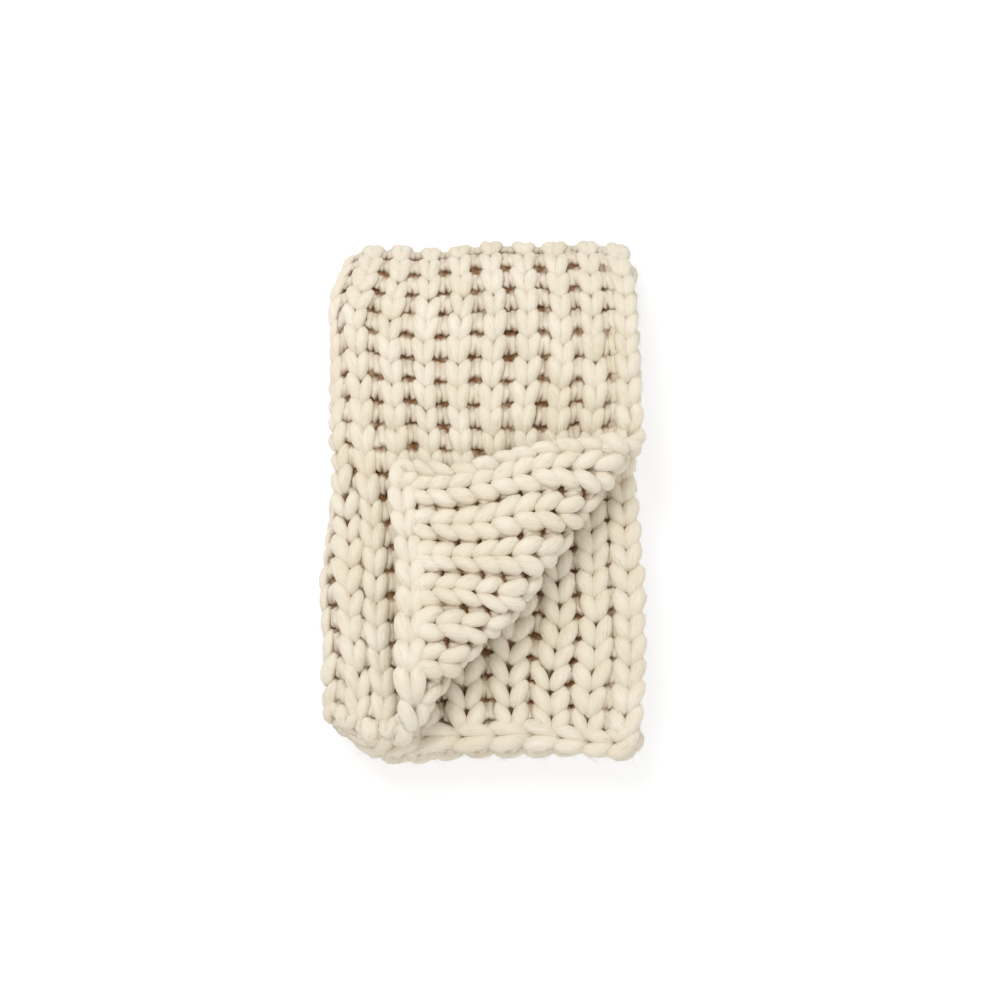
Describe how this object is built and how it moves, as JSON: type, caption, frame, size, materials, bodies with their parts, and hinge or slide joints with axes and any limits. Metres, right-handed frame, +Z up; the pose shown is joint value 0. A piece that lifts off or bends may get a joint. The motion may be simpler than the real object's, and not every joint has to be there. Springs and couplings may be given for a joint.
{
  "type": "throw blanket",
  "caption": "Chunky rib-knit throw blanket, folded in four into a rectangle that lies flat, with one corner of its top ply turned back.",
  "frame": {"origin": "on the surface that the folded throw rests on, under the middle of its box", "axes": "+Z up, +Y towards the fold that joins the upper and lower half, +X to the right, away from the side fold"},
  "size_m": [0.4759, 0.8086, 0.208],
  "materials": {
    "cream_wool": "matt, softly hairy thick cream roving, rib knit, browner in its hollows"
  },
  "bodies": {
    "root": {"throw": "cream_wool"}
  },
  "joints": []
}
